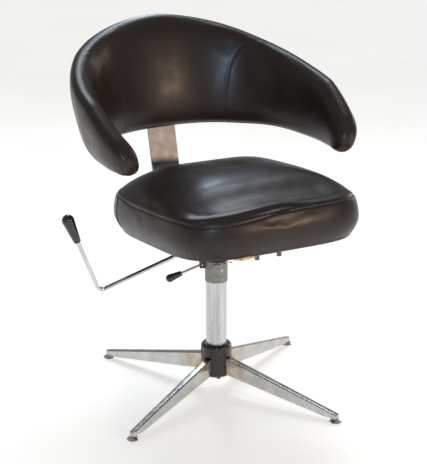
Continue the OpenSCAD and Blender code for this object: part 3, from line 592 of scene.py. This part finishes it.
def back_details(angle, turn, points):
    """Height of seams, puckers, gathers and soft dents over the smooth padding."""
    side = np.sin(angle)
    u = np.abs(side)
    front = ease(turn, math.radians(55), math.radians(70))
    front = front * (1 - ease(turn, math.radians(262), math.radians(275)))
    metres = 0.52
    off_seam = (u - back_seam_side(turn)) * metres
    seam = -0.0009 * hill(off_seam, 0, 0.0022) * front
    lap = 0.0003 * hill(off_seam, 0.0055, 0.0045) * front
    ripple = np.sin(turn * 34 + 2.2 * np.sin(turn * 7)) * hill(off_seam, 0, 0.016)
    puckers = 0.00010 * ripple * front * (0.35 + hill(turn, math.radians(105), 0.5))
    # The covers of the arms meet the outer cover along a line outside the top edge
    outer_line = math.radians(62) + 0.06 * np.sin(angle * 9)
    on_arm = ease(u, 0.40, 0.46)
    off_line = (turn - outer_line) * 0.035
    outer = -0.0006 * hill(off_line, 0, 0.0024) * on_arm
    outer += 0.0002 * hill(off_line, 0.006, 0.005) * on_arm
    # A slack fold runs along the inner face of each arm, from the seam to the tip
    fold_at = np.radians(mix(141, 116, ease(u, 0.5, 0.93)))
    off_fold = (turn - fold_at) * 0.045
    reach = ease(u, 0.46, 0.56) * (1 - ease(u, 0.93, 0.985))
    fold = (-0.0005 * hill(off_fold, 0, 0.0020) + 0.0003 * hill(off_fold, -0.007, 0.006)) * reach
    # Gathers where the cover is pulled under the arm tips
    under = hill(turn, math.radians(275), 0.75)
    gather = 0.0016 * np.sin(angle * 150) * ease(u, 0.86, 0.93) * under
    gather -= 0.0012 * ease(u, 0.90, 0.96) * under * np.cos(angle * 67)
    # The lower edge: the two covers meet in a thin welt
    welt = 0.0013 * hill((turn - math.radians(266)) * 0.03, 0, 0.0022) - 0.0014 * hill(
        (turn - math.radians(258)) * 0.03, 0, 0.002)
    welt = welt * (1 - ease(u, 0.9, 0.97))
    soft = 0.0006 * waves(points, 0.19, 3) + 0.00012 * waves(points, 0.06, 4)
    soft = soft * (1 - 0.6 * ease(u, 0.9, 1))
    return seam + lap + puckers + outer + fold + gather + welt + soft


def shape_back():
    """The padded band that wraps round the sitter, its ends making the arms."""
    angles = np.radians(np.concatenate([[-89.6, -89], np.linspace(-88, 88, 119), [89, 89.6]]))
    turns = even_turns(0.028, 0.105, PAD_POWER, 76)
    angle, turn = np.meshgrid(angles, turns, indexing="ij")
    piece = loft("back_cushion", back_point(angle, turn, 0.0004), HIDE_BACK)
    ends = np.radians([-90.0, 90.0])
    store(piece, "angle", np.concatenate([angle.ravel(), ends]))
    store(piece, "turn_cos", np.concatenate([np.cos(turn).ravel(), [0, 0]]))
    store(piece, "turn_sin", np.concatenate([np.sin(turn).ravel(), [1, 1]]))
    swell(piece, 1.2, 0.0012)
    refine(piece, 2)
    angle = stored(piece, "angle")
    turn = np.arctan2(stored(piece, "turn_sin"), stored(piece, "turn_cos")) % (2 * math.pi)
    points = coords(piece)
    points += normals(piece) * back_details(angle, turn, points)[:, None]
    # The left side has settled: its shoulder hangs lower and its tip stands a little further out
    side = np.sin(angle)
    settle = hill(side, 0.55, 0.28) * ease(points[:, 2], LOW_Z, TOP_Z)
    points[:, 2] -= 0.016 * settle
    points[:, 0] += 0.003 * ease(side, 0.55, 1.0)
    points[:, 0] -= 0.008 * hill(side, -0.6, 0.28) * ease(points[:, 2], LOW_Z, TOP_Z)
    points[:, 0] += 0.006 * ease(-side, 0.8, 1.0)
    points[:, 1] -= 0.014 * ease(side, 0.6, 1.0)
    points[:, 2] -= 0.003 * ease(side, 0.7, 1.0)
    set_coords(piece, points)
    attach(piece, "swivel")
    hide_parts("back_cover_middle", "back_cover_right_arm", "back_cover_left_arm", "back_cover_outer",
                "back_foam_front", "back_foam_rear", "back_shell")
    return piece


# ---- seat ----
def seat_world(local):
    """From the seat's tilted frame to the chair's."""
    c, s = math.cos(SEAT_TILT), math.sin(SEAT_TILT)
    x, y, z = local[..., 0], local[..., 1], local[..., 2]
    return np.stack([x, y * c + z * s, SEAT_Z - y * s + z * c], -1)


def seat_local(world):
    c, s = math.cos(SEAT_TILT), math.sin(SEAT_TILT)
    x, y, z = world[..., 0], world[..., 1], world[..., 2] - SEAT_Z
    return np.stack([x, y * c - z * s, y * s + z * c], -1)


def seat_outline(angle, share, inset=0.0):
    x = (SEAT_W / 2 * share - inset) * signed_power(np.cos(angle), 2 / SEAT_POWER)
    y = (SEAT_D / 2 * share - inset) * signed_power(np.sin(angle), 2 / SEAT_POWER) - SEAT_FORWARD
    return x, y


def band_share(z):
    u = np.clip(z / BAND_H, 0, 1)
    low = RIM_SHARE + (1 - RIM_SHARE) * np.sin(math.pi * u)
    return np.where(u < 0.5, low, 1 - (1 - CREASE_SHARE) * (2 * u - 1) ** 2)


def crown_z(share):
    return BAND_H + CROWN_H * (1 - (share / CREASE_SHARE) ** CROWN_POWER)


def seat_profile():
    """(share, height) from the middle of the underside, up the band and over the crown."""
    under = [(0.3, 0.0008), (0.6, 0.0008), (0.78, 0.0006), (0.84, -0.001), (0.895, -0.004)]
    heights = np.linspace(-0.0025, BAND_H, 15)
    band = [(float(band_share(z)), float(z)) for z in heights]
    shares = [0.955, 0.94, 0.925, 0.905, 0.885, 0.865, 0.84, 0.81, 0.775, 0.735, 0.69, 0.64, 0.585, 0.525,
              0.46, 0.39, 0.31, 0.22, 0.12, 0.05]
    return np.array(under + band + [(s, float(crown_z(s))) for s in shares])


def seam_rise(x, y):
    """How far the seam between band and crown lies above its nominal line: it sags at the near corner."""
    front = ease(-y, 0.24, 0.31)
    along_front = mix(-0.013, 0.006, ease(x, -0.16, 0.06))
    along_side = -0.007 * ease(-y, -0.05, 0.03)
    left = np.where(x < 0, along_side, 0.0)
    return mix(left, along_front, front)


def front_drop(local):
    """The front of the crown has sunk to a shallow apron behind the seam."""
    x, y, z = local.T
    from_edge = y + SEAT_FORWARD + SEAT_D / 2
    drop = 0.012 * hill(from_edge, 0.062, 0.036) * (1 - ease(np.abs(x + 0.03), 0.13, 0.23))
    drop = drop * ease(z, BAND_H, BAND_H + 0.02)
    return np.stack([0 * x, 0 * x, drop], -1)


def seat_details(points, way):
    """Height of the seams, folds and dents.
    way is the distance up the skin from the band's nominal top edge."""
    local = seat_local(points)
    x, y = local[:, 0], local[:, 1]
    top = ease(local[:, 2], 0.004, 0.014)
    seam_at = seam_rise(x, y)
    off = way - seam_at
    seam = -0.0010 * hill(off, 0, 0.0020)
    seam += 0.0003 * hill(off, 0.007, 0.0045) + 0.0002 * hill(off, -0.007, 0.005)
    # Slack leather: a fold above the seam along the front, widest off the near corner
    front = ease(-y, 0.235, 0.285)
    length = ease(x, -0.222, -0.16) * (1 - ease(x, -0.02, 0.08))
    fold_at = seam_at + 0.006 + 0.020 * length
    strength = front * ease(x, -0.228, -0.19) * (1 - 0.55 * ease(x, 0.0, 0.2))
    fold = 0.0017 * hill(way, fold_at, 0.0060) - 0.0015 * hill(way, mix(seam_at, fold_at, 0.5), 0.0065)
    fold = fold * strength - 0.0012 * hill(way, fold_at + 0.012, 0.008) * strength
    # Joins of the band, one on each side near the back, and a pull at each
    on_band = ease(way, -0.086, -0.076) * (1 - ease(off, -0.004, 0.001))
    join_at = 0.056 - 0.004 * np.sin((way + 0.09) * 30)
    band_join = -0.0022 * hill(y, join_at, 0.0024) + 0.0009 * hill(y, join_at + 0.006, 0.004)
    band_join = band_join * on_band * ease(np.abs(x), 0.20, 0.215)
    corner = hill(np.abs(x), 0.205, 0.03) * (hill(y, -0.30, 0.03) + hill(y, 0.135, 0.03))
    pleats = 0.0009 * np.sin(np.arctan2(y + SEAT_FORWARD, x) * 120) * corner * ease(-way, 0.045, 0.085)
    puckers = 0.00016 * np.sin((x - y) * 520) * hill(off, 0, 0.011)
    soft = 0.0005 * waves(local, 0.2, 11) + 0.00012 * waves(local, 0.06, 12)
    return (seam + fold + band_join + pleats + puckers + soft) * top


def shape_seat():
    """The square cushion: a boxed band, a seam and a soft crown."""
    profile = seat_profile()
    step = np.hypot(np.diff(profile[:, 0]) * SEAT_W / 2, np.diff(profile[:, 1]))
    way = np.concatenate([[0], np.cumsum(step)])
    way -= np.interp(BAND_H, profile[5:20, 1], way[5:20])
    angles = even_turns(SEAT_W / 2, SEAT_D / 2, SEAT_POWER, 128)
    rings = []
    for share, z in profile:
        inset = 0.0 if z < 0.004 else 0.0004
        x, y = seat_outline(angles, share, inset if share > 0.2 else 0.0)
        rings.append(seat_world(np.stack([x, y, np.full_like(x, z - (inset if share < 0.95 else 0))], -1)))
    piece = loft("seat_cushion", rings, HIDE_SEAT)
    store(piece, "way", np.concatenate([np.repeat(way, len(angles)), [way[0], way[-1]]]))
    swell(piece, 1.5, 0.0016, seat_local(coords(piece))[:, 2] < 0.006)
    refine(piece, 2)
    points = coords(piece)
    points = seat_world(seat_local(points) - front_drop(seat_local(points)))
    set_coords(piece, points)
    points += normals(piece) * seat_details(points, stored(piece, "way"))[:, None]
    set_coords(piece, points)
    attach(piece, "swivel")
    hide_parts("seat_top_cover", "seat_side_band", "seat_foam")
    return piece


def shape_dust_cover():
    """Black lining cloth under the seat, cut round the casting and the bar."""
    bar_half, flange_half_x, flange_half_y, front_cut = 0.038, 0.049, 0.057, 0.112
    columns, rows = 180, 14
    half_x, half_y = SEAT_W / 2 * DUST_SHARE, SEAT_D / 2 * DUST_SHARE
    rear = math.atan2(half_y - SEAT_FORWARD, bar_half)
    angles = np.linspace(rear - 2 * math.pi + 2 * (math.pi / 2 - rear), rear, columns)[::-1]
    rings = []
    for angle in angles:
        c, s = math.cos(angle), math.sin(angle)
        reach = np.linspace(0, 0.45, 2000)
        inside = (np.abs(reach * c) / half_x) ** SEAT_POWER + (
            np.abs(reach * s + SEAT_FORWARD) / half_y) ** SEAT_POWER < 1
        outer = reach[inside][-1]
        over_bar = (np.abs(reach * c) < bar_half) & (reach * s > -front_cut)
        over_flange = (np.abs(reach * c) < flange_half_x) & (np.abs(reach * s) < flange_half_y)
        inner = min(reach[over_bar | over_flange][-1] + 0.001, outer - 0.0005)
        at = np.linspace(inner, outer, rows)
        sag = 0.0045 * np.sin(math.pi * (at - inner) / max(outer - inner, 1e-6)) ** 2
        sag *= min(1.0, (outer - inner) / 0.08)
        rings.append(np.stack([at * c, at * s, -0.0012 - sag], -1))
    rings = np.array(rings)
    crumple = waves(rings.reshape(-1, 3), 0.045, 21).reshape(rings.shape[:2])
    edge = np.sin(np.linspace(0, math.pi, rows))[None]
    rings[..., 2] -= 0.0009 * (1 + crumple) * edge
    verts = seat_world(rings).reshape(-1, 3)
    faces = [(j * rows + i, j * rows + i + 1, (j + 1) * rows + i + 1, (j + 1) * rows + i)
             for j in range(columns - 1) for i in range(rows - 1)]
    piece = add_mesh("dust_cover", verts, faces, CAMBRIC)
    thick = piece.modifiers.new("cloth_thickness", "SOLIDIFY")
    thick.thickness, thick.offset = 0.0005, 0
    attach(piece, "swivel")
    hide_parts("seat_dust_cover")
    return piece


# ---- legs ----
def shape_leg(number):
    """A pressed channel: rounded top edges, sides that deepen towards the hub, open underneath."""
    turn = LEG_TURN + math.pi / 2 * (number - 1)
    stations = np.concatenate([np.linspace(LEG_ROOT_R, FOOT_R, 34),
                               FOOT_R + LEG_TIP_W / 2 * np.sin(np.radians([15, 30, 45, 60, 72, 82, 88]))])
    fall = (LEG_TOP_Z - FOOT_H - LEG_TIP_H) / (FOOT_R - LEG_ROOT_R)
    outer_rings = []
    for r in stations:
        along = min(1, (r - LEG_ROOT_R) / (FOOT_R - LEG_ROOT_R))
        half = mix(LEG_ROOT_W, LEG_TIP_W, along) / 2
        past = max(0, r - FOOT_R)
        half = math.sqrt(max(1e-8, half * half - past * past)) if past else half
        top = LEG_TOP_Z - fall * (r - LEG_ROOT_R)
        low = mix(LEG_UNDER_Z, FOOT_H, min(1, max(0, (r - HUB_R) / (FOOT_R - 0.029 - HUB_R))))
        edge = min(0.0032, half * 0.8)
        wall = min(LEG_WALL, half * 0.6)
        ring = []
        for a in np.radians([0, 18, 36, 54, 72, 90]):
            ring.append((half - edge + edge * math.cos(a), top - edge + edge * math.sin(a)))
        ring += [(-y, z) for y, z in reversed(ring)]
        floor = low + 0.0008
        deep = max(floor + 0.0005, top - wall)
        ring += [(-half, floor), (-half + 0.0008, low), (-half + wall, floor), (-half + wall, deep)]
        ring += [(half - wall, deep), (half - wall, floor), (half - 0.0008, low), (half, floor)]
        c, s = math.cos(turn), math.sin(turn)
        outer_rings.append([(r * c - y * s, r * s + y * c, z) for y, z in ring])
    piece = loft(f"leg_channel_{number}", outer_rings, LEG_CHROME)
    piece.data.set_sharp_from_angle(angle=math.radians(38))
    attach(piece, "base")
    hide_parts(f"leg_{number}")
    return piece


# ---- torn front edge ----
def shape_torn_edge():
    """Foam and frayed cloth that show where the front lower edge has split."""
    front_y = -(SEAT_D / 2 * RIM_SHARE) - SEAT_FORWARD
    along = np.linspace(0, 1, 26)
    rings = []
    for t in along:
        x = mix(-0.124, -0.072, t)
        fat = math.sin(math.pi * t ** 1.5) ** 0.8 + 0.02
        wobble = 0.0008 * math.sin(t * 31) + 0.0006 * math.sin(t * 67 + 1)
        ring = []
        for a in np.linspace(0, 2 * math.pi, 14, endpoint=False):
            ring.append((x, front_y + 0.0020 + 0.0055 * fat * math.cos(a),
                         -0.0022 + (0.0034 * fat + wobble) * math.sin(a)))
        rings.append(ring)
    foam = loft("torn_foam", seat_world(np.array(rings)), FOAM)
    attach(foam, "swivel")
    rng = np.random.default_rng(5)
    for number in range(9):
        start = rng.uniform(-0.180, -0.078) if number else -0.122
        length = rng.uniform(0.006, 0.015) if number else 0.050
        steps = np.linspace(0, 1, 9)
        bend = rng.uniform(-1, 1, 3)
        points = np.stack([start + length * steps, front_y + 0.003 + 0.003 * bend[0] * steps,
                           -0.0036 - 0.0036 * np.sin(math.pi * steps * 0.9) * (0.7 + 0.3 * bend[1])], -1)
        look = FOAM if number % 3 == 0 else HIDE_EDGE
        taper = np.sin(np.pi * (0.12 + 0.8 * steps))
        flap = tube(f"frayed_edge_{number + 1}", seat_world(points), 0.0012, look, 6, taper)
        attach(flap, "swivel")


shape_back()
shape_seat()
shape_dust_cover()
for leg_number in (1, 2, 3, 4):
    shape_leg(leg_number)
shape_torn_edge()


# ---- floor, light and camera ----
def make_floor():
    m = Shader("floor_pale", Specular_IOR_Level=0.2)
    m.colour(m.ramp(m.noise(1.6, 4), (0.3, (0.80, 0.775, 0.735)), (0.7, (0.86, 0.845, 0.815))))
    m.roughness(m.span(m.noise(3, 4), 0.55, 0.75))
    m.surface.inputs["Emission Color"].default_value = (1.0, 0.97, 0.92, 1)
    m.surface.inputs["Emission Strength"].default_value = 0.50
    corners = [(-60, -60, 0), (60, -60, 0), (60, 60, 0), (-60, 60, 0)]
    floor = add_mesh("floor", corners, [(0, 1, 2, 3)], m.material, False)


def add_light(name, place, aim, size, power, colour):
    data = bpy.data.lights.new(name, "AREA")
    data.shape = "RECTANGLE"
    data.size, data.size_y = size
    data.energy = power
    data.color = colour
    lamp = bpy.data.objects.new(name, data)
    scene.collection.objects.link(lamp)
    lamp.location = place
    lamp.rotation_euler = (Vector(aim) - Vector(place)).to_track_quat("-Z", "Y").to_euler()


def add_daylight(name, come_from, strength, spread, colour):
    data = bpy.data.lights.new(name, "SUN")
    data.energy = strength
    data.angle = math.radians(spread)
    data.color = colour
    lamp = bpy.data.objects.new(name, data)
    scene.collection.objects.link(lamp)
    lamp.rotation_euler = (-Vector(come_from)).to_track_quat("-Z", "Y").to_euler()


make_floor()
CHAIR_MIDDLE = (0.0, 0.0, 0.5)
add_daylight("daylight", (0.30, 0.45, 0.90), 0.9, 22, (0.84, 0.92, 1.0))
add_light("cool_front", (-1.15, -2.45, 1.50), (0.1, 0.25, 0.8), (0.24, 0.18), 15, (0.50, 0.74, 1.0))
add_light("warm_front", (1.15, -2.40, 1.05), (0.0, 0.2, 0.7), (0.24, 0.24), 13, (1.0, 0.72, 0.52))
add_light("window_behind", (0.9, 2.2, 2.1), (-0.25, 0.0, 0.75), (0.5, 0.9), 16, (0.70, 0.84, 1.0))
add_light("warm_side", (2.30, 0.60, 1.00), CHAIR_MIDDLE, (0.9, 0.9), 7, (1.0, 0.82, 0.68))

world = bpy.data.worlds.new("studio")
scene.world = world
world.use_nodes = True
world.node_tree.nodes["Background"].inputs["Color"].default_value = (0.97, 0.975, 1.0, 1)
world.node_tree.nodes["Background"].inputs["Strength"].default_value = 0.27
scene.view_settings.view_transform = "Standard"

camera_data = bpy.data.cameras.new("camera")
camera_data.sensor_width = 36
camera_data.lens = 102.66
camera_data.clip_end = 60
camera = bpy.data.objects.new("camera", camera_data)
scene.collection.objects.link(camera)
camera.location = (-1.3954, -2.6103, 1.3635)
camera.rotation_euler = (math.radians(71.973), 0, math.radians(-28))
scene.camera = camera
